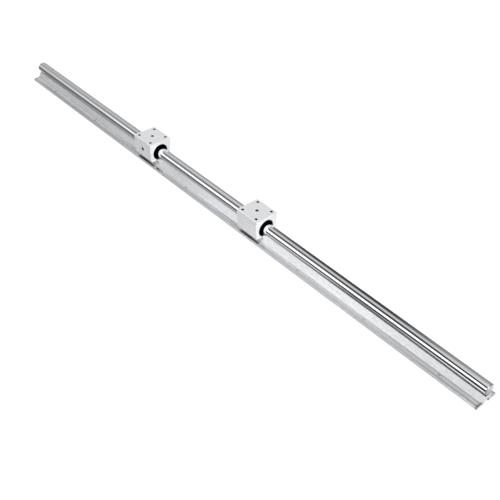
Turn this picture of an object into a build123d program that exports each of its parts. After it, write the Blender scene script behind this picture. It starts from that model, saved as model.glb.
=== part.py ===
from build123d import *
import os
from math import floor, radians, sqrt, tan

# Supported round rail: a 20 mm shaft 1200 mm long on its support, with two open
# bearing blocks. Frame: +X along the rail, +Y across it, +Z up. The origin is at
# the middle of the rail's underside, so the part stands on z = 0. Millimetres.

# shaft
rail_length = 1200.0
shaft_diameter = 20.0
shaft_height = 27.0  # underside of the rail to the shaft's axis
shaft_end_chamfer = 1.5

# support extrusion
base_width = 45.0
base_thickness = 5.0
base_tip_radius = 0.8
web_foot_width = 22.5  # where the web's flanks meet the flanges
web_fillet = 2.0
neck_width = 9.2  # just under the shaft
seat_drop = 9.3  # shaft's axis down to the support's top
groove_width = 1.2  # V line that marks each row of holes
groove_depth = 0.4
channel_width = 12.0  # along the underside, for the screw heads
channel_height = 8.0
seat_gap = 0.02  # shaft to its cradle

# holes along the rail
station_pitch = 150.0
mount_hole_diameter = 5.5
mount_hole_gauge = 30.0  # between the two rows

shaft_screw_diameter = 6.0  # M6, from below through the support
shaft_screw_clearance = 0.3  # all round, where it passes the support
shaft_tap_depth = 9.5

# bearing block
block_width = 48.0
block_length = 50.0
block_height = 39.0
block_rise = 23.0  # shaft's axis to the block's top
block_land = 11.0  # upright part of the sides, under the top
block_foot_width = 42.0  # the sides draw in to this
block_chamfer = 0.8
bore_chamfer = 0.6
slot_angle = 60.0  # open sector under the shaft

# holes in the block
top_hole_pitch = 35.0
top_hole_diameter = 5.0  # core of an M6 thread
top_hole_depth = 12.0
oil_hole_diameter = 5.0  # core of an M6 thread, for a grease nipple
side_hole_diameter = 5.0  # for the M5 screw that bears on the shell
side_hole_rise = 3.0  # above the shaft's axis

# open ball bearing
bearing_diameter = 32.0
bearing_play = 0.02  # bearing in the block's bore, and seals on the shell's ends
shell_wall = 2.6
cage_play = 0.05  # cage's corners in the shell
cage_clearance = 0.5  # cage's flats to shaft
cage_sides = 12  # one flat for each row of balls; the slot takes two of them
seal_width = 4.0
seal_clearance = 0.05  # seal to shaft
slot_draw = 1.0  # degrees by which each side of the bearing stands back from the block's slot

# where the carriages stand, and which way their side holes face
carriage_1_from_end = 402.5  # from the rail's -X end
carriage_2_from_end = 497.0  # from the rail's +X end
carriage_1_turn = 0.0  # side hole toward -Y
carriage_2_turn = 180.0  # side hole toward +Y

# sizes that follow from these
shaft_radius = shaft_diameter / 2
seat_radius = shaft_radius + seat_gap
seat_half_width = sqrt(seat_radius**2 - seat_drop**2)
support_height = shaft_height - seat_drop
station_count = floor(rail_length / station_pitch)
bearing_radius = bearing_diameter / 2
shell_inner_radius = bearing_radius - shell_wall
shell_length = block_length - 2 * (seal_width + bearing_play)
block_top = shaft_height + block_rise
block_bottom = block_top - block_height
carriage_1_x = -rail_length / 2 + carriage_1_from_end
carriage_2_x = rail_length / 2 - carriage_2_from_end

os.makedirs("parts", exist_ok=True)


def sector_below(half_angle):
    # corners of the sector that opens downward from the shaft's axis, in the section
    spread = block_height * tan(radians(half_angle))
    return (
        (0, shaft_height),
        (-spread, shaft_height - block_height),
        (spread, shaft_height - block_height),
    )


def save(piece, name):
    piece.part.label = name
    export_step(piece.part, f"parts/{name}.step")


# shaft, with tapped holes from below at the stations
with BuildPart() as shaft:
    with BuildSketch(Plane.YZ):
        with Locations((0, shaft_height)):
            Circle(shaft_radius)
    extrude(amount=rail_length / 2, both=True)
    chamfer(shaft.edges().filter_by(GeomType.CIRCLE), shaft_end_chamfer)
    with Locations(Plane((0, 0, shaft_height - shaft_radius), z_dir=(0, 0, -1))):
        with GridLocations(station_pitch, 0, station_count, 1):
            Hole(shaft_screw_diameter / 2, depth=shaft_tap_depth)
save(shaft, "shaft")

# support: one extruded section, drilled at the stations
with BuildPart() as support_rail:
    with BuildSketch(Plane.YZ) as section:
        with BuildLine():
            Polyline(
                (0, 0),
                (base_width / 2, 0),
                (base_width / 2, base_thickness),
                (web_foot_width / 2, base_thickness),
                (neck_width / 2, support_height),
                (seat_half_width, support_height),
                (0, support_height),
                close=True,
            )
        make_face()
        mirror(about=Plane.YZ)
        flange_tips = section.vertices().group_by(Axis.X)[0] + section.vertices().group_by(Axis.X)[-1]
        fillet(flange_tips, base_tip_radius)
        web_feet = section.vertices().filter_by(
            lambda corner: abs(abs(corner.X) - web_foot_width / 2) < base_tip_radius and corner.Y > 0
        )
        fillet(web_feet, web_fillet)
        with Locations((0, shaft_height)):
            Circle(seat_radius, mode=Mode.SUBTRACT)
        Rectangle(channel_width, channel_height, align=(Align.CENTER, Align.MIN), mode=Mode.SUBTRACT)
        with Locations((-mount_hole_gauge / 2, base_thickness), (mount_hole_gauge / 2, base_thickness)):
            Polygon(
                (-groove_width / 2, 0),
                (0, -groove_depth),
                (groove_width / 2, 0),
                align=None,
                mode=Mode.SUBTRACT,
            )
    extrude(amount=rail_length / 2, both=True)
    with GridLocations(station_pitch, mount_hole_gauge, station_count, 2):
        Hole(mount_hole_diameter / 2)
    with GridLocations(station_pitch, 0, station_count, 1):
        Hole(shaft_screw_diameter / 2 + shaft_screw_clearance)
save(support_rail, "support_rail")

# the pieces of one carriage, made where they would stand at the middle of the rail

with BuildPart() as block:
    with BuildSketch(Plane.YZ) as section:
        with BuildLine():
            Polyline(
                (-block_width / 2, block_top),
                (block_width / 2, block_top),
                (block_width / 2, block_top - block_land),
                (block_foot_width / 2, block_bottom),
                (-block_foot_width / 2, block_bottom),
                (-block_width / 2, block_top - block_land),
                close=True,
            )
        make_face()
        outer_corners = section.vertices().group_by(Axis.Y)[0] + section.vertices().group_by(Axis.Y)[-1]
        chamfer(outer_corners, block_chamfer)
        with Locations((0, shaft_height)):
            Circle(bearing_radius + bearing_play, mode=Mode.SUBTRACT)
        Polygon(*sector_below(slot_angle / 2), align=None, mode=Mode.SUBTRACT)
    extrude(amount=block_length / 2, both=True)
    chamfer(block.edges().filter_by(GeomType.CIRCLE), bore_chamfer)
    with Locations((0, 0, block_top)):
        with GridLocations(top_hole_pitch, top_hole_pitch, 2, 2):
            Hole(top_hole_diameter / 2, depth=top_hole_depth)
        Hole(oil_hole_diameter / 2, depth=block_rise)
    side_hole_plane = Plane((0, -block_width / 2, shaft_height + side_hole_rise), z_dir=(0, -1, 0))
    with Locations(side_hole_plane):
        Hole(side_hole_diameter / 2, depth=block_width / 2)

with BuildPart() as shell:
    with BuildSketch(Plane.YZ):
        with Locations((0, shaft_height)):
            Circle(bearing_radius)
            Circle(shell_inner_radius, mode=Mode.SUBTRACT)
        Polygon(*sector_below(slot_angle / 2 + slot_draw), align=None, mode=Mode.SUBTRACT)
    extrude(amount=shell_length / 2, both=True)

with BuildPart() as cage:
    with BuildSketch(Plane.YZ):
        with Locations((0, shaft_height)):
            RegularPolygon(shell_inner_radius - cage_play, cage_sides)
            RegularPolygon(
                shaft_radius + cage_clearance,
                cage_sides,
                major_radius=False,
                mode=Mode.SUBTRACT,
            )
        Polygon(*sector_below(slot_angle / 2 + slot_draw), align=None, mode=Mode.SUBTRACT)
    extrude(amount=shell_length / 2, both=True)

with BuildPart() as seal:
    with BuildSketch(Plane.YZ.offset(block_length / 2 - seal_width)):
        with Locations((0, shaft_height)):
            Circle(bearing_radius)
            Circle(shaft_radius + seal_clearance, mode=Mode.SUBTRACT)
        Polygon(*sector_below(slot_angle / 2 + slot_draw), align=None, mode=Mode.SUBTRACT)
    extrude(amount=seal_width)

# the same pieces set on the rail twice; the rear seal is the front one, turned round
carriage_pieces = (
    ("block", block, 0.0),
    ("shell", shell, 0.0),
    ("cage", cage, 0.0),
    ("seal_front", seal, 0.0),
    ("seal_rear", seal, 180.0),
)
carriages = (
    (1, carriage_1_x, carriage_1_turn),
    (2, carriage_2_x, carriage_2_turn),
)
for number, carriage_x, carriage_turn in carriages:
    for name, piece, own_turn in carriage_pieces:
        with BuildPart() as placed:
            with Locations(Location((carriage_x, 0, 0), (0, 0, carriage_turn + own_turn))):
                add(piece.part)
        save(placed, f"{name}_{number}")
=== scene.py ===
import math

import bpy
from mathutils import Matrix, Vector


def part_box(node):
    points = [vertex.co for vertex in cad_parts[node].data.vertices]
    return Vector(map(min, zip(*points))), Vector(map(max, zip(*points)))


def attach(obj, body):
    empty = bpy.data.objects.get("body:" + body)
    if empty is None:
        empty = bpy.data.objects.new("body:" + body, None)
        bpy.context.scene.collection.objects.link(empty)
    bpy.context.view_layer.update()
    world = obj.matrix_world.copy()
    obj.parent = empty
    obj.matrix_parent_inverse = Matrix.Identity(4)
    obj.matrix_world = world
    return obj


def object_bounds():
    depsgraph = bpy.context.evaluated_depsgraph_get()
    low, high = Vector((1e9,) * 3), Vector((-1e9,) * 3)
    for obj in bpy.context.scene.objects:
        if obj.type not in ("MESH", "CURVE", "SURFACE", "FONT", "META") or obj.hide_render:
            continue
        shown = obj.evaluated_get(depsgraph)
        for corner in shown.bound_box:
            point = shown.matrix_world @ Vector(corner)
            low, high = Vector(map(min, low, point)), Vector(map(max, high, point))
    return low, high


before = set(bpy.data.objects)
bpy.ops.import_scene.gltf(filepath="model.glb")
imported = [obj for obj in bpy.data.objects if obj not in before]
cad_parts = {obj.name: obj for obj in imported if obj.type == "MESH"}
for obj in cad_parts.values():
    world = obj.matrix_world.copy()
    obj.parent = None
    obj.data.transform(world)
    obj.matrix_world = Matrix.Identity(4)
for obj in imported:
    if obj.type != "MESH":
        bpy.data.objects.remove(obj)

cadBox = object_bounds()
mm = 0.001
print("frame loaded:", len(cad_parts), "nodes")


# camera, at the photograph's angle

cameraView = {
    "azimuth": 46.571,  # degrees, 0 looks along +Y
    "elevation": 39.365,
    "roll": 3.239,
    "distance": 1.5908,  # metres to the middle of the rail's underside, along the view
    "lens": 62.991,  # millimetres on the 36 mm sensor
    "sensor": 36.0,
    "imageSide": 500.0,  # pixels
    "middleAcross": 218.01,  # where the rail's middle lies in the picture, from its left
    "middleDown": 205.73,  # and from its top
    "clip": (0.01, 50.0),
}


def placeCamera(view):
    azimuth, elevation, roll = (math.radians(view[k]) for k in ("azimuth", "elevation", "roll"))
    back = Vector((
        math.sin(azimuth) * math.cos(elevation),
        -math.cos(azimuth) * math.cos(elevation),
        math.sin(elevation),
    ))
    level = (-back).cross(Vector((0, 0, 1))).normalized()
    upright = level.cross(-back)
    right = math.cos(roll) * level + math.sin(roll) * upright
    up = -math.sin(roll) * level + math.cos(roll) * upright
    perPixel = view["distance"] * view["sensor"] / view["lens"] / view["imageSide"]
    across = (view["middleAcross"] - view["imageSide"] / 2) * perPixel
    down = (view["middleDown"] - view["imageSide"] / 2) * perPixel
    place = back * view["distance"] - right * across + up * down
    data = bpy.data.cameras.new("photoCamera")
    data.sensor_width = view["sensor"]
    data.lens = view["lens"]
    data.clip_start, data.clip_end = view["clip"]
    camera = bpy.data.objects.new("photoCamera", data)
    camera.matrix_world = Matrix((
        (right.x, up.x, back.x, place.x),
        (right.y, up.y, back.y, place.y),
        (right.z, up.z, back.z, place.z),
        (0, 0, 0, 1),
    ))
    bpy.context.scene.collection.objects.link(camera)
    bpy.context.scene.camera = camera
    return camera


placeCamera(cameraView)
print("camera placed")


# node helpers


def addNode(tree, kind, **settings):
    node = tree.nodes.new(kind)
    for key, value in settings.items():
        setattr(node, key, value)
    return node


def supply(tree, socket, value):
    # another node's socket is linked; a number, vector, colour or material is set
    if isinstance(value, bpy.types.NodeSocket):
        tree.links.new(value, socket)
    elif socket.type == "RGBA":
        socket.default_value = (*value, 1)
    else:
        socket.default_value = value


def feed(tree, node, **sources):
    # inputs by name, with _ for a space
    for key, value in sources.items():
        supply(tree, node.inputs[key.replace("_", " ")], value)
    return node


def feedInOrder(tree, node, *sources):
    for socket, value in zip(node.inputs, sources):
        supply(tree, socket, value)
    return node


def calculate(tree, operation, *values, clamp=False):
    node = addNode(tree, "ShaderNodeMath", operation=operation, use_clamp=clamp)
    return feedInOrder(tree, node, *values).outputs[0]


def multiply(tree, first, second):
    return calculate(tree, "MULTIPLY", first, second)


def vectorMath(tree, operation, *values):
    node = addNode(tree, "ShaderNodeVectorMath", operation=operation)
    return feedInOrder(tree, node, *values).outputs["Vector"]


def separate(tree, vector):
    return feed(tree, addNode(tree, "ShaderNodeSeparateXYZ"), Vector=vector).outputs


def combine(tree, **parts):
    return feed(tree, addNode(tree, "ShaderNodeCombineXYZ"), **parts).outputs["Vector"]


def mix(tree, share, under, over, kind="RGBA", blend="MIX"):
    node = addNode(tree, "ShaderNodeMix", data_type=kind, blend_type=blend)
    return feed(tree, node, Factor=share, A=under, B=over).outputs["Result"]


def mapValue(tree, value, low, high, start=0.0, end=1.0):
    node = addNode(tree, "ShaderNodeMapRange")
    feed(tree, node, Value=value, From_Min=start, From_Max=end, To_Min=low, To_Max=high)
    return node.outputs["Result"]


def smoothStep(tree, value, start, end):
    node = addNode(tree, "ShaderNodeMapRange", interpolation_type="SMOOTHSTEP")
    return feed(tree, node, Value=value, From_Min=start, From_Max=end).outputs["Result"]


def band(tree, value, start, full, stillFull, end):
    # 1 from full to stillFull, 0 up to start and from end on
    return multiply(tree, smoothStep(tree, value, start, full), smoothStep(tree, value, end, stillFull))


def grey(level):
    return (level, level, level)


def readRamp(tree, place, stops, brightest=1.0):
    # stops are places and grey levels; the ramp holds shares of the brightest
    ramp = addNode(tree, "ShaderNodeValToRGB")
    while len(ramp.color_ramp.elements) < len(stops):
        ramp.color_ramp.elements.new(0.5)
    for element, (position, level) in zip(ramp.color_ramp.elements, stops):
        element.position = position
        element.color = (*grey(level / brightest), 1)
    return feed(tree, ramp, Fac=place).outputs["Color"]


def alongRail(tree, place, stops):
    # level that follows stops from the rail's -X end, 0, to its +X end, 1
    share = mapValue(tree, place, 0.0, 1.0, cadBox[0][0], cadBox[1][0])
    brightest = max(level for _, level in stops)
    return multiply(tree, readRamp(tree, share, stops, brightest), brightest)


# shared effects

socketKinds = {
    float: "NodeSocketFloat",
    int: "NodeSocketInt",
    tuple: "NodeSocketVector",
    bpy.types.Material: "NodeSocketMaterial",
}


def newTree(name, kind, inputs, outputs, outputKind):
    # makes an input for each name, of its default's kind; gives back the tree, the
    # sockets of its inputs and its output node
    tree = bpy.data.node_groups.new(name, kind)
    for label, value in inputs.items():
        inputKind = socketKinds[type(value)]
        socket = tree.interface.new_socket(name=label, in_out="INPUT", socket_type=inputKind)
        socket.default_value = value
    for label in outputs:
        tree.interface.new_socket(name=label, in_out="OUTPUT", socket_type=outputKind)
    return tree, tree.nodes.new("NodeGroupInput").outputs, tree.nodes.new("NodeGroupOutput")


def newGroup(name, inputs, *outputs):
    return newTree(name, "ShaderNodeTree", inputs, outputs, "NodeSocketFloat")


def addNoise(tree, place, **settings):
    node = addNode(tree, "ShaderNodeTexNoise", noise_dimensions="3D")
    return feed(tree, node, Vector=place, **settings).outputs["Fac"]


def raiseContrast(tree, value, contrast, clamp=False):
    centred = calculate(tree, "SUBTRACT", value, 0.5)
    return calculate(tree, "MULTIPLY_ADD", centred, contrast, 0.5, clamp=clamp)


def buildStreaks():
    # fine lines drawn along one axis, as an extrusion or a ground bar has
    inputs = {"Vector": (0.0, 0.0, 0.0), "Stretch": (6.0, 900.0, 900.0), "Contrast": 1.0}
    group, take, result = newGroup("drawnStreaks", inputs, "Streaks")
    place = vectorMath(group, "MULTIPLY", take["Vector"], take["Stretch"])
    noise = addNoise(group, place, Scale=1.0, Detail=3.0, Roughness=0.65)
    feed(group, result, Streaks=raiseContrast(group, noise, take["Contrast"], clamp=True))
    return group


def buildGrain():
    # an even fine grain with broader, faint clouds in it: blasted or moulded surfaces
    inputs = {
        "Vector": (0.0, 0.0, 0.0),
        "Grain Scale": 2600.0,
        "Cloud Scale": 45.0,
        "Cloud Share": 0.4,
        "Cloud Contrast": 1.0,
    }
    group, take, result = newGroup("fineGrain", inputs, "Grain", "Clouds", "Mixed")
    grain = addNoise(group, take["Vector"], Scale=take["Grain Scale"], Detail=2.0)
    soft = addNoise(group, take["Vector"], Scale=take["Cloud Scale"], Detail=4.0)
    clouds = raiseContrast(group, soft, take["Cloud Contrast"])
    mixed = mix(group, take["Cloud Share"], grain, clouds, kind="FLOAT")
    feed(group, result, Grain=grain, Clouds=clouds, Mixed=mixed)
    return group


def buildCutEdges():
    # 1 on faces that slant between the main directions: chamfers and rounded tips
    square = 0.93  # a normal's largest part, where a face stops counting as slanting
    group, take, result = newGroup("cutEdges", {"Normal": (0.0, 0.0, 0.0), "Softness": 0.08}, "Edges")
    parts = separate(group, vectorMath(group, "ABSOLUTE", take["Normal"]))
    larger = calculate(group, "MAXIMUM", parts["X"], parts["Y"])
    largest = calculate(group, "MAXIMUM", larger, parts["Z"])
    slanting = calculate(group, "SUBTRACT", square, take["Softness"])
    feed(group, result, Edges=smoothStep(group, largest, square, slanting))
    return group


streaksGroup = buildStreaks()
grainGroup = buildGrain()
edgesGroup = buildCutEdges()


def placeGroup(tree, group, **values):
    return feed(tree, addNode(tree, "ShaderNodeGroup", node_tree=group), **values).outputs


def placeStreaks(tree, place, stretch, contrast):
    lines = placeGroup(tree, streaksGroup, Vector=place, Stretch=stretch, Contrast=contrast)
    return lines["Streaks"]


def placeGrain(tree, place, sizes):
    return placeGroup(
        tree,
        grainGroup,
        Vector=place,
        Grain_Scale=sizes["grain"],
        Cloud_Scale=sizes["clouds"],
        Cloud_Share=sizes["cloudShare"],
        Cloud_Contrast=sizes["cloudContrast"],
    )


def clearTree(owner):
    owner.use_nodes = True
    owner.node_tree.nodes.clear()
    return owner.node_tree


def newMaterial(name):
    material = bpy.data.materials.new(name)
    tree = clearTree(material)
    surface = addNode(tree, "ShaderNodeBsdfPrincipled")
    feed(tree, addNode(tree, "ShaderNodeOutputMaterial"), Surface=surface.outputs["BSDF"])
    return material, tree, surface


def readSurface(tree):
    # the place on the piece, its three numbers, and the normal's three numbers
    read = addNode(tree, "ShaderNodeTexCoord").outputs
    return read["Object"], separate(tree, read["Object"]), separate(tree, read["Normal"])


def layOver(tree, colour, finish, **masks):
    # each mask lays the finish's colour of its name over what is there
    for name, mask in masks.items():
        colour = mix(tree, mask, colour, finish[name])
    return colour


def addBump(tree, surface, height, distance):
    bump = feed(tree, addNode(tree, "ShaderNodeBump"), Height=height, Distance=distance, Strength=1.0)
    feed(tree, surface, Normal=bump.outputs["Normal"])


# materials

shaftFinish = {
    "darkLine": (0.66, 0.67, 0.69),
    "brightLine": (0.80, 0.81, 0.83),
    "roughness": (0.03, 0.06),
    "grinding": (1500.0, 30.0, 30.0),  # rings round the bar, left by grinding
    "grindingContrast": 1.4,
    "grindingDepth": 0.0000012,
    "film": (0.012, 0.012, 0.013),  # painted shade along the shaft's lower side, in a narrow band, where it mirrors the shaded support
    "filmStart": (-0.02, -0.17),  # the surface normal's height where it starts and is full
    "filmEnd": (-0.66, -0.55),  # and where it has ended and is still full
    # how strong it is and how far it slides down, from the rail's -X end to its +X end
    "filmShare": ((0.0, 0.55), (0.20, 0.35), (0.40, 0.15), (0.62, 0.40), (0.76, 0.95), (1.0, 1.0)),
    "filmSlide": ((0.0, 0.0), (0.84, 0.0), (0.92, 0.03), (0.985, 0.16)),
    "chamfer": (0.30, 0.30, 0.31),
    "chamferFacing": (0.4, 0.7),  # the normal's part along the bar, where the chamfer starts
    "end": (0.34, 0.34, 0.345),  # sawn ends
    "endFacing": (0.75, 0.95),
    "endRoughness": 0.45,
}


def makeShaftMaterial(finish):
    material, tree, surface = newMaterial("groundShaft")
    place, spot, facing = readSurface(tree)
    rings = placeStreaks(tree, place, finish["grinding"], finish["grindingContrast"])
    # painted shade on the shaft's lower side, where it mirrors the shaded support
    height = calculate(tree, "ADD", facing["Z"], alongRail(tree, spot["X"], finish["filmSlide"]))
    film = multiply(
        tree,
        smoothStep(tree, height, *finish["filmStart"]),
        smoothStep(tree, facing["Z"], *finish["filmEnd"]),
    )
    endwise = calculate(tree, "ABSOLUTE", facing["X"])
    cut = smoothStep(tree, endwise, *finish["chamferFacing"])
    colour = layOver(
        tree,
        mix(tree, rings, finish["darkLine"], finish["brightLine"]),
        finish,
        film=multiply(tree, film, alongRail(tree, spot["X"], finish["filmShare"])),
        chamfer=cut,
        end=smoothStep(tree, endwise, *finish["endFacing"]),
    )
    shine = mapValue(tree, rings, *finish["roughness"])
    roughness = mix(tree, cut, shine, finish["endRoughness"], kind="FLOAT")
    feed(tree, surface, Base_Color=colour, Metallic=1.0, Roughness=roughness)
    addBump(tree, surface, rings, finish["grindingDepth"])
    return material


# a pair named Height, Reach, Side, FromEnd or Facing is where a mask starts and where it
# is full; a list of stops runs from the rail's -X end, 0, to its +X end, 1
extrusionFinish = {
    "dark": (0.69, 0.70, 0.72),
    "bright": (0.985, 0.99, 1.0),
    "roughness": (0.24, 0.42),
    "metallic": 0.90,
    "innerMetallic": 0.15,  # on the flanges near the web
    "flatFacing": (0.9, 0.98),  # the normal's height on a flat face
    # the flat faces' roughness, as a share of the drawn flanks'
    "flatShine": (
        (0.0, 1.2),
        (0.25, 1.2),
        (0.28, 0.55),
        (0.37, 0.55),
        (0.41, 1.2),
        (0.56, 1.2),
        (0.59, 0.55),
        (0.605, 0.55),
        (0.62, 1.3),
        (1.0, 1.4),
    ),
    "outerHalf": (0.58, 0.59, 0.605),  # the flanges' outer halves, darker by a share that changes along the rail
    "outerReach": (0.0155, 0.0185),
    "outerShare": (
        (0.0, 0.8),
        (0.30, 0.8),
        (0.45, 0.9),
        (0.62, 0.45),
        (0.74, 0.15),
        (0.86, 0.15),
        (0.93, 0.7),
        (1.0, 0.7),
    ),
    # painted light and shade on the web's flanks: how light they are along the rail
    "webPaintedLight": (
        (0.05, 0.84),
        (0.15, 0.76),
        (0.26, 0.84),
        (0.43, 0.84),
        (0.52, 1.0),
        (0.67, 0.97),
        (0.79, 1.04),
        (0.875, 0.93),
        (0.96, 0.87),
        (1.0, 0.84),
    ),
    "paintedCradleShade": (0.012, 0.012, 0.013),  # painted shade along the cradle's edges, under the shaft
    "cradleShadeDepth": 0.0009,  # from the support's top down
    "cradleShadeEdge": 0.0005,
    "cradleShadeShare": ((0.0, 0.65), (0.30, 0.50), (0.45, 0.35), (0.58, 0.40), (0.72, 1.0), (1.0, 1.0)),
    # millimetres by which it reaches further down
    "cradleShadeRun": (
        (0.0, 1.1),
        (0.30, 0.8),
        (0.45, 0.0),
        (0.66, 0.0),
        (0.88, 0.20),
        (0.92, 0.40),
        (0.985, 0.90),
    ),
    "paintedFootShade": (0.42, 0.42, 0.43),  # painted shade in the corner between web and flange
    "footShadeHeight": (0.0059, 0.0052),
    "footShadeReach": (0.0152, 0.0132),
    "footShadeShare": ((0.0, 0.0), (0.6, 0.0), (0.8, 0.15), (0.87, 0.7), (1.0, 0.9)),
    "burrAndShade": (0.23, 0.23, 0.235),  # the sawn end's edge, darker: the burr and painted shade, all across the -Y flange and at the other's foot
    "burrShadeHeight": (0.0070, 0.0060),
    "burrShadeFromEnd": (0.005, 0.001),
    "burrShadeSide": (0.005, -0.005),
    "burrShadeReach": (0.0150, 0.0140),
    "paintedLowShade": (0.36, 0.36, 0.37),  # painted shade in a line low on the web, toward the -X end
    "lowShadeHeight": (0.0050, 0.0053, 0.0060, 0.0070),  # start, full, still full, ended
    "lowShadeShare": ((0.0, 0.5), (0.3, 0.5), (0.42, 0.1), (0.5, 0.0), (1.0, 0.0)),
    "sawnEnd": (0.54, 0.54, 0.55),
    "sawnFacing": (0.6, 0.9),  # the normal's part along the rail
    "drawing": (9.0, 1100.0, 1100.0),  # long fine lines along the rail
    "drawingContrast": 1.7,
    "drawingDepth": 0.000006,
    "grain": 1800.0,
    "grainShare": 0.6,  # of grain and clouds, against the drawn lines
    "clouds": 460.0,
    "cloudShare": 0.9,
    "cloudContrast": 2.6,
    "cloudStretch": (0.35, 1.0, 1.0),
}


def drawnTexture(tree, place, finish):
    # long lines, with grain and clouds between them
    lines = placeStreaks(tree, place, finish["drawing"], finish["drawingContrast"])
    stretched = vectorMath(tree, "MULTIPLY", place, finish["cloudStretch"])
    grain = placeGrain(tree, stretched, finish)["Mixed"]
    return mix(tree, finish["grainShare"], lines, grain, kind="FLOAT")


def paintedShadeMasks(tree, spot, sideways, level, finish):
    # where painted shade lies on the support: along the cradle's edges, in the web's foot corners and low
    # on the web, and with the saw's burr at the sawn ends
    height = spot["Z"]
    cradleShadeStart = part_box("support_rail")[1][2] - finish["cradleShadeDepth"]
    lowered = calculate(tree, "ADD", height, multiply(tree, level("cradleShadeRun"), mm))
    oil = smoothStep(tree, lowered, cradleShadeStart, cradleShadeStart + finish["cradleShadeEdge"])
    foot = multiply(
        tree,
        smoothStep(tree, height, *finish["footShadeHeight"]),
        smoothStep(tree, sideways, *finish["footShadeReach"]),
    )
    fromEnd = calculate(tree, "SUBTRACT", cadBox[1][0], calculate(tree, "ABSOLUTE", spot["X"]))
    atEnd = multiply(
        tree,
        smoothStep(tree, height, *finish["burrShadeHeight"]),
        smoothStep(tree, fromEnd, *finish["burrShadeFromEnd"]),
    )
    burrShadePlace = calculate(
        tree,
        "MAXIMUM",
        smoothStep(tree, spot["Y"], *finish["burrShadeSide"]),
        smoothStep(tree, sideways, *finish["burrShadeReach"]),
    )
    return {
        "paintedCradleShade": multiply(tree, oil, level("cradleShadeShare")),
        "paintedFootShade": multiply(tree, foot, level("footShadeShare")),
        "burrAndShade": multiply(tree, atEnd, burrShadePlace),
        "paintedLowShade": multiply(tree, band(tree, height, *finish["lowShadeHeight"]), level("lowShadeShare")),
    }


def makeExtrusionMaterial(finish):
    material, tree, surface = newMaterial("satinExtrusion")
    place, spot, facing = readSurface(tree)
    sideways = calculate(tree, "ABSOLUTE", spot["Y"])

    def level(name):
        return alongRail(tree, spot["X"], finish[name])

    drawn = drawnTexture(tree, place, finish)
    flat = smoothStep(tree, facing["Z"], *finish["flatFacing"])
    outer = multiply(tree, flat, smoothStep(tree, sideways, *finish["outerReach"]))
    inner = calculate(tree, "SUBTRACT", flat, outer)
    endwise = calculate(tree, "ABSOLUTE", facing["X"])
    # the web's flanks take painted light and shade along the rail; flat faces keep the drawn colour
    webLitColour = feed(
        tree,
        addNode(tree, "ShaderNodeVectorMath", operation="SCALE"),
        Vector=mix(tree, drawn, finish["dark"], finish["bright"]),
        Scale=mix(tree, flat, level("webPaintedLight"), 1.0, kind="FLOAT"),
    )
    colour = layOver(
        tree,
        webLitColour.outputs["Vector"],
        finish,
        outerHalf=multiply(tree, outer, level("outerShare")),
        **paintedShadeMasks(tree, spot, sideways, level, finish),
        sawnEnd=smoothStep(tree, endwise, *finish["sawnFacing"]),
    )
    roughness = multiply(
        tree,
        mapValue(tree, drawn, *finish["roughness"]),
        mix(tree, flat, 1.0, level("flatShine"), kind="FLOAT"),
    )
    metallic = mapValue(tree, inner, finish["metallic"], finish["innerMetallic"])
    feed(tree, surface, Base_Color=colour, Metallic=metallic, Roughness=roughness)
    addBump(tree, surface, drawn, finish["drawingDepth"])
    return material


blockHoles = {
    "square": 17.5 * mm,  # from the block's middle to its corner holes, each way
    "sideHeight": 30.0 * mm,  # the side hole's axis over the floor
    "sideStart": 17.0 * mm,  # the side hole is farther from the rail's middle plane than this
}
blockFinish = {
    "dark": (0.74, 0.745, 0.76),
    "bright": (1.0, 1.0, 1.0),
    # chamfers and rounded tips painted lighter: a painted highlight along the edges
    "edge": (0.98, 0.98, 0.985),
    "underside": (0.05, 0.05, 0.052),  # painted shade on faces that look down over the rail
    "undersideFacing": (-0.5, -0.9),  # the normal's height where it starts and is full
    "roughness": (0.50, 0.62),
    "metallic": 0.40,
    "grain": 2600.0,
    "grainDepth": 0.00002,
    "clouds": 760.0,
    "cloudShare": 0.7,
    "cloudContrast": 2.4,
    "oily": (0.030, 0.030, 0.031),  # painted shade in and round the holes
    # radii where the painted shade has ended and where it is full
    "cornerHoleShade": (0.0027, 0.0025),
    "middleHoleShade": (0.0033, 0.0026),
    "sideHoleShade": (0.0039, 0.0030),
}


def roundMask(tree, across, along, radii):
    # 1 inside a circle round the point where both distances are 0
    squares = calculate(tree, "MULTIPLY_ADD", across, across, multiply(tree, along, along))
    return smoothStep(tree, calculate(tree, "SQRT", squares), *radii)


def holeShadeMask(tree, spot, finish):
    # where both blocks get painted shade in and round their holes; each has its side hole on its own side
    boxes = [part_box(name) for name in ("block_1", "block_2")]
    firstMiddle, secondMiddle = ((low[0] + high[0]) / 2 for low, high in boxes)
    isSecond = calculate(tree, "GREATER_THAN", spot["X"], (firstMiddle + secondMiddle) / 2)
    middle = mapValue(tree, isSecond, firstMiddle, secondMiddle)
    along = calculate(tree, "SUBTRACT", spot["X"], middle)
    fromCorner = [
        calculate(tree, "SUBTRACT", calculate(tree, "ABSOLUTE", way), blockHoles["square"])
        for way in (along, spot["Y"])
    ]
    corners = roundMask(tree, *fromCorner, finish["cornerHoleShade"])
    oilHole = roundMask(tree, along, spot["Y"], finish["middleHoleShade"])
    rise = calculate(tree, "SUBTRACT", spot["Z"], blockHoles["sideHeight"])
    ownSide = multiply(tree, spot["Y"], mapValue(tree, isSecond, -1.0, 1.0))
    side = multiply(
        tree,
        roundMask(tree, along, rise, finish["sideHoleShade"]),
        calculate(tree, "GREATER_THAN", ownSide, blockHoles["sideStart"]),
    )
    return calculate(tree, "MAXIMUM", side, calculate(tree, "MAXIMUM", corners, oilHole))


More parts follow.
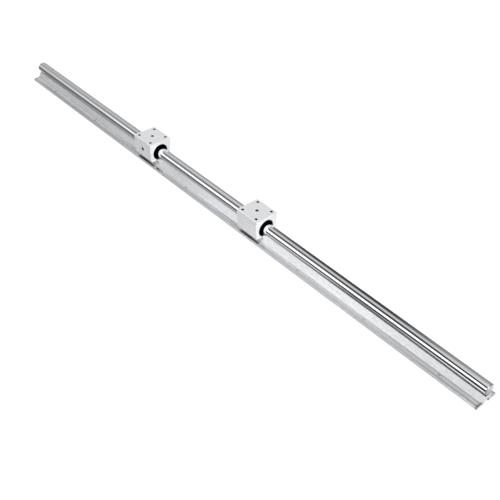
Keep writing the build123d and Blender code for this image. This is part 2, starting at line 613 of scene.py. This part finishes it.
def makeBlockMaterial(finish):
    material, tree, surface = newMaterial("blastedAluminium")
    place, spot, facing = readSurface(tree)
    grain = placeGrain(tree, place, finish)
    normal = addNode(tree, "ShaderNodeTexCoord").outputs["Normal"]
    colour = layOver(
        tree,
        mix(tree, grain["Mixed"], finish["dark"], finish["bright"]),
        finish,
        # a painted highlight on the chamfers and rounded tips
        edge=placeGroup(tree, edgesGroup, Normal=normal)["Edges"],
        # painted shade on faces that look down over the rail
        underside=smoothStep(tree, facing["Z"], *finish["undersideFacing"]),
        # painted shade in and round the holes
        oily=holeShadeMask(tree, spot, finish),
    )
    roughness = mapValue(tree, grain["Mixed"], *finish["roughness"])
    feed(tree, surface, Base_Color=colour, Metallic=finish["metallic"], Roughness=roughness)
    addBump(tree, surface, grain["Grain"], finish["grainDepth"])
    return material


sealFinish = {
    "dark": (0.0002, 0.0002, 0.0003),
    "bright": (0.0010, 0.0010, 0.0011),
    "roughness": (0.45, 0.62),
    "shine": 0.004,
    "grainDepth": 0.00001,
}
cageFinish = {
    "dark": (0.012, 0.012, 0.013),
    "bright": (0.025, 0.025, 0.027),
    "roughness": (0.35, 0.50),
    "shine": 0.35,
    "grainDepth": 0.000008,
}
blackGrain = {"grain": 3000.0, "clouds": 180.0, "cloudShare": 0.5, "cloudContrast": 1.0}


def makeBlackMaterial(name, finish):
    material, tree, surface = newMaterial(name)
    grain = placeGrain(tree, addNode(tree, "ShaderNodeTexCoord").outputs["Object"], blackGrain)
    colour = mix(tree, grain["Mixed"], finish["dark"], finish["bright"])
    roughness = mapValue(tree, grain["Clouds"], *finish["roughness"])
    feed(tree, surface, Base_Color=colour, Roughness=roughness, Specular_IOR_Level=finish["shine"])
    addBump(tree, surface, grain["Grain"], finish["grainDepth"])
    return material


steelFinish = {
    "dark": (0.02, 0.02, 0.021),
    "bright": (0.05, 0.05, 0.052),
    "roughness": (0.20, 0.32),
    "turning": (2200.0, 60.0, 60.0),
}
screwFinish = {
    "dark": (0.010, 0.010, 0.011),
    "bright": (0.035, 0.035, 0.038),
    "roughness": (0.28, 0.46),
    "turning": (700.0, 700.0, 1500.0),
}
# the blocks' threads, near black: painted shade deep in the holes
threadFinish = {
    "dark": (0.008, 0.008, 0.009),
    "bright": (0.045, 0.045, 0.047),
    "roughness": (0.38, 0.52),
    "turning": (900.0, 900.0, 2600.0),
}
turnedLines = {"contrast": 1.5, "depth": 0.000004}


def makeTurnedMaterial(name, finish):
    material, tree, surface = newMaterial(name)
    place = addNode(tree, "ShaderNodeTexCoord").outputs["Object"]
    lines = placeStreaks(tree, place, finish["turning"], turnedLines["contrast"])
    colour = mix(tree, lines, finish["dark"], finish["bright"])
    roughness = mapValue(tree, lines, *finish["roughness"])
    feed(tree, surface, Base_Color=colour, Metallic=1.0, Roughness=roughness)
    addBump(tree, surface, lines, turnedLines["depth"])
    return material


blackScrew = makeTurnedMaterial("blackScrew", screwFinish)
paintedThreadShade = makeTurnedMaterial("paintedThreadShade", threadFinish)
nodeMaterials = {
    "shaft": makeShaftMaterial(shaftFinish),
    "support_rail": makeExtrusionMaterial(extrusionFinish),
    "block": makeBlockMaterial(blockFinish),
    "shell": makeTurnedMaterial("bearingSteel", steelFinish),
    "cage": makeBlackMaterial("cagePlastic", cageFinish),
    "seal": makeBlackMaterial("sealRubber", sealFinish),
}


def dressNodes():
    for name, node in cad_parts.items():
        material = next(m for start, m in nodeMaterials.items() if name.startswith(start))
        node.data.materials.clear()
        node.data.materials.append(material)


dressNodes()
print("materials made and CAD nodes dressed")


# screws and threads, made by geometry nodes


def newShape(name, sizes):
    return newTree(name, "GeometryNodeTree", sizes, ("Geometry",), "NodeSocketGeometry")


def move(tree, geometry, **sources):
    node = addNode(tree, "GeometryNodeTransform")
    return feed(tree, node, Geometry=geometry, **sources).outputs["Geometry"]


def lift(tree, geometry, height):
    return move(tree, geometry, Translation=combine(tree, Z=height))


def addHelix(tree, radius, ridge, turns, height, sides=4, steps=20):
    # a ridge wound up the Z axis from its origin
    helix = addNode(tree, "GeometryNodeCurveSpiral")
    feed(tree, helix, Resolution=steps, Rotations=turns, Height=height)
    feed(tree, helix, Start_Radius=radius, End_Radius=radius)
    profile = addNode(tree, "GeometryNodeCurvePrimitiveCircle", mode="RADIUS")
    feed(tree, profile, Resolution=sides, Radius=ridge)
    sweep = addNode(tree, "GeometryNodeCurveToMesh")
    feed(tree, sweep, Curve=helix.outputs[0], Profile_Curve=profile.outputs["Curve"], Fill_Caps=True)
    return sweep.outputs["Mesh"]


def addRod(tree, radius, length, sides=40):
    # stands on the origin
    rod = addNode(tree, "GeometryNodeMeshCylinder", fill_type="NGON")
    feed(tree, rod, Vertices=sides, Radius=radius, Depth=length)
    return lift(tree, rod.outputs["Mesh"], multiply(tree, length, 0.5))


def addEdge(tree, bottom, top, height, sides=40):
    # a short cone that stands on the origin
    cone = addNode(tree, "GeometryNodeMeshCone", fill_type="NGON")
    feed(tree, cone, Vertices=sides, Radius_Top=top, Radius_Bottom=bottom, Depth=height)
    return cone.outputs["Mesh"]


def join(tree, *parts):
    node = addNode(tree, "GeometryNodeJoinGeometry")
    for part in parts:
        tree.links.new(part, node.inputs["Geometry"])
    return node.outputs["Geometry"]


def setOnPoints(tree, points, piece):
    node = addNode(tree, "GeometryNodeInstanceOnPoints")
    return feed(tree, node, Points=points, Instance=piece).outputs["Instances"]


def boolean(tree, operation, first, second):
    node = addNode(tree, "GeometryNodeMeshBoolean", operation=operation, solver="EXACT")
    tree.links.new(first, node.inputs["Mesh 1" if operation == "DIFFERENCE" else "Mesh 2"])
    tree.links.new(second, node.inputs["Mesh 2"])
    return node.outputs["Mesh"]


def finishTree(tree, take, result, geometry):
    real = feed(tree, addNode(tree, "GeometryNodeRealizeInstances"), Geometry=geometry)
    dressed = addNode(tree, "GeometryNodeSetMaterial")
    feed(tree, dressed, Geometry=real.outputs["Geometry"], Material=take["Material"])
    feed(tree, result, Geometry=dressed.outputs["Geometry"])


def addSocketScrew(tree, take):
    # a hexagon-socket screw on the Z axis: head at the origin facing down, shank upwards
    edge, headRadius, headHeight = (take[name] for name in ("Edge", "Head Radius", "Head Height"))
    length, pitch, depth = (take[name] for name in ("Shank Length", "Thread Pitch", "Thread Depth"))
    rim = addEdge(tree, calculate(tree, "SUBTRACT", headRadius, edge), headRadius, edge)
    barrel = addRod(tree, headRadius, calculate(tree, "SUBTRACT", headHeight, edge))
    hexRadius = calculate(tree, "DIVIDE", take["Socket Width"], math.sqrt(3))
    socket = addRod(tree, hexRadius, multiply(tree, take["Socket Depth"], 2.0), sides=6)
    sunk = lift(tree, socket, multiply(tree, take["Socket Depth"], -1.0))
    head = boolean(tree, "DIFFERENCE", boolean(tree, "UNION", rim, lift(tree, barrel, edge)), sunk)
    core = calculate(tree, "SUBTRACT", take["Shank Radius"], depth)
    shank = lift(tree, addRod(tree, core, length), headHeight)
    turns = calculate(tree, "DIVIDE", length, pitch)
    ridge = addHelix(tree, core, depth, turns, calculate(tree, "SUBTRACT", length, pitch))
    start = calculate(tree, "MULTIPLY_ADD", pitch, 0.5, headHeight)
    return join(tree, head, shank, lift(tree, ridge, start))


def buildScrewRow(sizes):
    tree, take, result = newShape("screwRow", sizes)
    row = addNode(tree, "GeometryNodeMeshLine", mode="OFFSET")
    step = combine(tree, X=take["Pitch"])
    feed(tree, row, Count=take["Count"], Start_Location=take["First Place"], Offset=step)
    placed = setOnPoints(tree, row.outputs["Mesh"], addSocketScrew(tree, take))
    finishTree(tree, take, result, placed)
    return tree


def buildSideScrew(sizes):
    tree, take, result = newShape("sideScrew", sizes)
    screw = addSocketScrew(tree, take)
    placed = move(tree, screw, Translation=take["Place"], Rotation=take["Turn"])
    finishTree(tree, take, result, placed)
    return tree


def buildBlockThreads(sizes):
    # the turns of thread in one block: four corner holes, the oil hole and the side hole
    tree, take, result = newShape("blockThreads", sizes)
    pitch = take["Thread Pitch"]

    def hang(depth):
        # a thread that starts at the origin and winds down
        turns = calculate(tree, "DIVIDE", depth, pitch)
        run = calculate(tree, "SUBTRACT", depth, pitch)
        ridge = addHelix(tree, take["Hole Radius"], take["Thread Depth"], turns, run)
        return lift(tree, ridge, calculate(tree, "SUBTRACT", multiply(tree, pitch, 0.5), depth))

    square = addNode(tree, "GeometryNodeMeshGrid")
    feed(tree, square, Size_X=take["Square"], Size_Y=take["Square"], Vertices_X=2, Vertices_Y=2)
    corners = setOnPoints(tree, square.outputs["Mesh"], hang(take["Corner Depth"]))
    inTop = join(tree, corners, hang(take["Oil Depth"]))
    top = move(tree, inTop, Translation=take["Top Middle"])
    inSide = hang(take["Side Depth"])
    side = move(tree, inSide, Translation=take["Side Place"], Rotation=take["Side Turn"])
    finishTree(tree, take, result, join(tree, top, side))
    return tree


sharpAngle = math.radians(32)


def bakeTree(name, tree, values, body):
    carrier = bpy.data.objects.new(name + "Carrier", bpy.data.meshes.new(name + "Carrier"))
    bpy.context.scene.collection.objects.link(carrier)
    modifier = carrier.modifiers.new("build", "NODES")
    modifier.node_group = tree
    for socket in tree.interface.items_tree:
        if socket.in_out == "INPUT" and socket.name in values:
            modifier[socket.identifier] = values[socket.name]
    bpy.context.view_layer.update()
    ready = carrier.evaluated_get(bpy.context.evaluated_depsgraph_get())
    mesh = bpy.data.meshes.new_from_object(ready)
    mesh.name = name
    carrier.modifiers.clear()
    bpy.data.objects.remove(carrier)
    piece = bpy.data.objects.new(name, mesh)
    bpy.context.scene.collection.objects.link(piece)
    mesh.shade_smooth()
    mesh.set_sharp_from_angle(angle=sharpAngle)
    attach(piece, body)
    return piece


stationCount = 8
stationPitch = 150.0 * mm
shaftScrews = {
    "Head Radius": 5.0 * mm,
    "Head Height": 6.0 * mm,
    "Edge": 0.5 * mm,
    "Socket Width": 5.0 * mm,
    "Socket Depth": 3.0 * mm,
    "Shank Radius": 2.95 * mm,
    "Shank Length": 16.0 * mm,
    "Thread Pitch": 1.0 * mm,
    "Thread Depth": 0.4 * mm,
    "Count": stationCount,
    "Pitch": stationPitch,
    "First Place": ((1 - stationCount) / 2 * stationPitch, 0.0, 2.0 * mm),
    "Material": blackScrew,
}
sideScrews = {
    "Head Radius": 2.42 * mm,
    "Head Height": 2.4 * mm,
    "Edge": 0.35 * mm,
    "Socket Width": 2.5 * mm,
    "Socket Depth": 2.0 * mm,
    "Shank Radius": 2.42 * mm,
    "Shank Length": 1.6 * mm,
    "Thread Pitch": 0.8 * mm,
    "Thread Depth": 0.3 * mm,
    "Place": (0.0, 0.0, 0.0),  # this and the next are set for each block
    "Turn": (0.0, 0.0, 0.0),
    "Material": blackScrew,
}
sideScrewEnd = 20.0 * mm  # from the rail's middle plane to the screw's outer end
blockThreads = {
    "Hole Radius": 2.5 * mm,
    "Thread Pitch": 1.0 * mm,
    "Thread Depth": 0.42 * mm,
    "Square": 2 * blockHoles["square"],
    "Corner Depth": 12.0 * mm,
    "Oil Depth": 6.5 * mm,
    "Side Depth": 3.8 * mm,
    "Top Middle": (0.0, 0.0, 0.0),  # this and the next two are set for each block
    "Side Place": (0.0, 0.0, 0.0),
    "Side Turn": (0.0, 0.0, 0.0),
    "Material": paintedThreadShade,
}


def makeFasteners():
    bakeTree("shaftScrews", buildScrewRow(shaftScrews), shaftScrews, "rail")
    sideScrew, threads = buildSideScrew(sideScrews), buildBlockThreads(blockThreads)
    for number, side in ((1, -1), (2, 1)):
        low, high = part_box(f"block_{number}")
        middle, height = (low[0] + high[0]) / 2, blockHoles["sideHeight"]
        turn = side * math.radians(90)
        sideScrews["Place"] = (middle, side * sideScrewEnd, height)
        sideScrews["Turn"] = (turn, 0.0, 0.0)
        blockThreads["Top Middle"] = (middle, 0.0, high[2])
        blockThreads["Side Place"] = (middle, side * high[1], height)
        blockThreads["Side Turn"] = (-turn, 0.0, 0.0)
        bakeTree(f"sideScrew_{number}", sideScrew, sideScrews, f"carriage_{number}")
        bakeTree(f"blockThreads_{number}", threads, blockThreads, f"carriage_{number}")


makeFasteners()
print("screws and threads made")


# floor, world and lamps

studio = {
    "floorSide": 14.0,
    "floorDrop": 0.0003,  # below the rail, so that the two never share a plane
    "floorGrey": 0.80,
    "shadowShare": 0.30,  # how much of the floor's brightness a shadow can take away
    "floorGlow": 0.80,
    # painted shade: the floor's glow under the rail
    "glowUnderRail": 0.70,
    "plainColour": (0.985, 0.99, 1.0),
    "plainLevel": 0.74,  # soft light from all round
    "keyPower": 215.0,
    "keySide": 2.6,
    "keyPlace": (5.2, -0.9, 2.7),
}

# what polished metal shows round the rail: soft boxes that stand turned from it,
# as degrees from straight up (camera side positive) and grey level
panels = {
    "turn": 25.0,  # degrees
    "levels": (
        (-180, 0.50),
        (-92, 0.40),
        (-45, 0.42),
        (-27, 0.62),
        (-14, 0.82),
        (12, 0.84),
        (20, 0.58),
        (28, 0.18),
        (34, 0.05),
        (42, 0.06),
        (50, 0.36),
        (57, 1.20),
        (64, 2.50),
        (76, 2.60),
        (83, 0.90),
        (88, 0.28),
        (180, 0.28),
    ),
    "wallLevel": 0.56,  # past the ends of the boxes
    "wallReach": (-0.86, -0.53),  # the direction's part along the rail: all wall, no wall
    # screens dim or lift a patch, over a band of degrees and a reach of that part;
    # the four numbers are where each starts, is full, is still full and has ended
    "screens": (
        {"level": 0.13, "band": (-400, -390, -34, 9), "reach": (-0.62, -0.51, -0.415, -0.34)},
        {"level": 0.70, "band": (-400, -390, -12, 8), "reach": (-0.43, -0.36, -0.38, -0.27)},
        {"level": 0.15, "band": (36, 42, 48, 57), "reach": (-0.52, -0.42, 0.50, 0.90)},
        {"level": 4.00, "band": (18, 26, 28, 34), "reach": (-0.38, -0.30, 0.50, 0.90)},
        {"level": 0.76, "band": (-40, -30, -18, -8), "reach": (-0.42, -0.36, 0.50, 0.90)},
        {"level": 0.78, "band": (70, 80, 390, 400), "reach": (-0.37, -0.31, 0.50, 0.90)},
        {"level": 0.60, "band": (70, 80, 390, 400), "reach": (-1.10, -1.00, -0.66, -0.62)},
        {"level": 0.20, "band": (83, 87, 390, 400), "reach": (-0.46, -0.36, 0.50, 0.90)},
    ),
}

# a grey board each side of the rail, seen only in polished metal;
# lists of stops run from the rail's -X end to its +X end, but for the light line's
boards = {
    "inner": 0.0228,
    "outer": 1.10,
    "halfLength": 2.2,
    "height": 0.0002,
    "dark": ((0.0, 0.05), (0.62, 0.05), (0.80, 0.03), (1.0, 0.015)),
    # the light line, from the inner edge to the outer one, with its strength and its place
    "line": (
        (0.0, 0.0),
        (0.006, 0.0),
        (0.014, 0.50),
        (0.030, 0.48),
        (0.046, 0.0),
        (0.9, 0.0),
        (1.0, 0.15),
    ),
    "lineShare": (
        (0.0, 0.7),
        (0.50, 1.3),
        (0.60, 2.0),
        (0.71, 2.0),
        (0.77, 0.8),
        (0.81, 0.9),
        (0.9, 1.9),
        (1.0, 3.2),
    ),
    "lineAway": ((0.0, 1.0), (0.86, 1.0), (0.92, 0.90), (0.985, 0.75), (1.0, 0.74)),
    "farLight": ((0.0, 0.0), (0.80, 0.0), (0.90, 0.45), (1.0, 0.75)),  # on the +Y side
    "edgeLevel": 0.62,  # the white paper just beside the flange
    "edgeReach": (0.0272, 0.0262),
    # where the metal of one piece shows in another
    "secondShares": (
        (0.0, 0.9),
        (0.18, 1.1),
        (0.28, 1.5),
        (0.6, 1.5),
        (0.72, 1.9),
        (0.85, 1.7),
        (1.0, 1.4),
    ),
    "secondDepth": 1.5,  # from the second mirroring on
}


def addShader(tree, kind, **sources):
    return feed(tree, addNode(tree, kind), **sources).outputs[0]


def mixShaders(tree, share, first, second):
    return feedInOrder(tree, addNode(tree, "ShaderNodeMixShader"), share, first, second).outputs[0]


def placeStage(name, corners, material):
    mesh = bpy.data.meshes.new(name)
    mesh.from_pydata(corners, [], [(0, 1, 2, 3)])
    mesh.materials.append(material)
    thing = bpy.data.objects.new(name, mesh)
    bpy.context.scene.collection.objects.link(thing)
    return thing


def makeFloor():
    material = bpy.data.materials.new("palePaper")
    tree = clearTree(material)
    # painted shade: under the rail itself the paper glows less
    place = addNode(tree, "ShaderNodeTexCoord").outputs["Object"]
    away = separate(tree, vectorMath(tree, "ABSOLUTE", place))
    outside = calculate(
        tree,
        "MAXIMUM",
        calculate(tree, "GREATER_THAN", away["X"], cadBox[1][0]),
        calculate(tree, "GREATER_THAN", away["Y"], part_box("support_rail")[1][1]),
    )
    level = mapValue(tree, outside, studio["glowUnderRail"], studio["floorGlow"])
    # what looks at the paper finds it glowing with a faint shadow, other light finds it plain
    path = addNode(tree, "ShaderNodeLightPath").outputs
    seen = calculate(tree, "MAXIMUM", path["Is Camera Ray"], path["Is Glossy Ray"])
    allSeen = calculate(tree, "MAXIMUM", seen, path["Is Transmission Ray"])
    plain = addShader(tree, "ShaderNodeBsdfDiffuse", Color=grey(studio["floorGrey"]))
    shaded = addShader(tree, "ShaderNodeBsdfDiffuse", Color=grey(studio["shadowShare"]))
    glow = addShader(tree, "ShaderNodeEmission", Strength=level)
    both = feedInOrder(tree, addNode(tree, "ShaderNodeAddShader"), shaded, glow).outputs[0]
    surface = mixShaders(tree, allSeen, plain, both)
    feed(tree, addNode(tree, "ShaderNodeOutputMaterial"), Surface=surface)
    side, drop = studio["floorSide"] / 2, -studio["floorDrop"]
    corners = [(-side, -side, drop), (side, -side, drop), (side, side, drop), (-side, side, drop)]
    return placeStage("paleFloor", corners, material)


def makeBoardMaterial():
    material = bpy.data.materials.new("greyBoard")
    tree = clearTree(material)
    spot = separate(tree, addNode(tree, "ShaderNodeTexCoord").outputs["Object"])
    away = calculate(tree, "ABSOLUTE", spot["Y"])

    def level(name):
        return alongRail(tree, spot["X"], boards[name])

    placed = calculate(tree, "DIVIDE", away, level("lineAway"))
    across = mapValue(tree, placed, 0.0, 1.0, boards["inner"], boards["outer"])
    farSide = calculate(tree, "GREATER_THAN", spot["Y"], 0.0)
    ground = calculate(tree, "ADD", multiply(tree, farSide, level("farLight")), level("dark"))
    line = readRamp(tree, across, boards["line"])
    lined = calculate(tree, "MULTIPLY_ADD", line, level("lineShare"), ground)
    strip = multiply(tree, smoothStep(tree, away, *boards["edgeReach"]), boards["edgeLevel"])
    glow = addShader(tree, "ShaderNodeEmission", Strength=calculate(tree, "MAXIMUM", lined, strip))
    plain = addShader(tree, "ShaderNodeEmission", Strength=level("secondShares"))
    depth = addNode(tree, "ShaderNodeLightPath").outputs["Glossy Depth"]
    second = calculate(tree, "GREATER_THAN", depth, boards["secondDepth"])
    surface = mixShaders(tree, second, glow, plain)
    feed(tree, addNode(tree, "ShaderNodeOutputMaterial"), Surface=surface)
    return material


def makeBoards():
    material = makeBoardMaterial()
    long, height = boards["halfLength"], boards["height"]
    for name, side in (("nearBoard", -1), ("farBoard", 1)):
        near, far = sorted((side * boards["inner"], side * boards["outer"]))
        corners = [(-long, near, height), (long, near, height), (long, far, height), (-long, far, height)]
        board = placeStage(name, corners, material)
        board.visible_camera = False
        board.visible_diffuse = False
        board.visible_shadow = False
        board.visible_transmission = False


def makeWorld():
    world = bpy.data.worlds.new("studio")
    bpy.context.scene.world = world
    tree = clearTree(world)
    direction = addNode(tree, "ShaderNodeTexCoord").outputs["Generated"]
    along = separate(tree, direction)["X"]
    turned = addNode(tree, "ShaderNodeVectorRotate", rotation_type="Z_AXIS")
    feed(tree, turned, Vector=direction, Angle=math.radians(panels["turn"]))
    parts = separate(tree, turned.outputs["Vector"])

    # angle from straight up, round the turned boxes
    angle = calculate(tree, "ARCTAN2", multiply(tree, parts["Y"], -1.0), parts["Z"])
    degrees = multiply(tree, angle, 180 / math.pi)
    share = calculate(tree, "ADD", calculate(tree, "DIVIDE", degrees, 360.0), 0.5)
    brightest = max(level for _, level in panels["levels"])
    stops = [((place + 180) / 360, level) for place, level in panels["levels"]]
    pattern = readRamp(tree, share, stops, brightest)

    # the screens, and plain wall past the ends of the boxes
    for screen in panels["screens"]:
        reach = band(tree, along, *screen["reach"])
        mask = multiply(tree, reach, band(tree, degrees, *screen["band"]))
        pattern = mix(tree, mask, pattern, grey(screen["level"]), blend="MULTIPLY")
    boxes = smoothStep(tree, along, *panels["wallReach"])
    allRound = mix(tree, boxes, grey(panels["wallLevel"] / brightest), pattern)

    background = "ShaderNodeBackground"
    plain = addShader(tree, background, Color=studio["plainColour"], Strength=studio["plainLevel"])
    panelGlow = addShader(tree, background, Color=allRound, Strength=brightest)
    white = addShader(tree, background, Color=grey(1.0), Strength=1.0)
    path = addNode(tree, "ShaderNodeLightPath").outputs
    lit = mixShaders(tree, path["Is Glossy Ray"], plain, panelGlow)
    surface = mixShaders(tree, path["Is Camera Ray"], lit, white)
    feed(tree, addNode(tree, "ShaderNodeOutputWorld"), Surface=surface)
    return world


def makeKeyLamp():
    data = bpy.data.lights.new("keyLamp", "AREA")
    data.shape = "DISK"
    data.size = studio["keySide"]
    data.energy = studio["keyPower"]
    lamp = bpy.data.objects.new("keyLamp", data)
    lamp.location = studio["keyPlace"]
    lamp.rotation_mode = "QUATERNION"
    lamp.rotation_quaternion = Vector(studio["keyPlace"]).to_track_quat("Z", "Y")
    bpy.context.scene.collection.objects.link(lamp)
    return lamp


makeFloor()
makeBoards()
makeWorld()
makeKeyLamp()
print("studio set")

bpy.context.scene.view_settings.view_transform = "Standard"
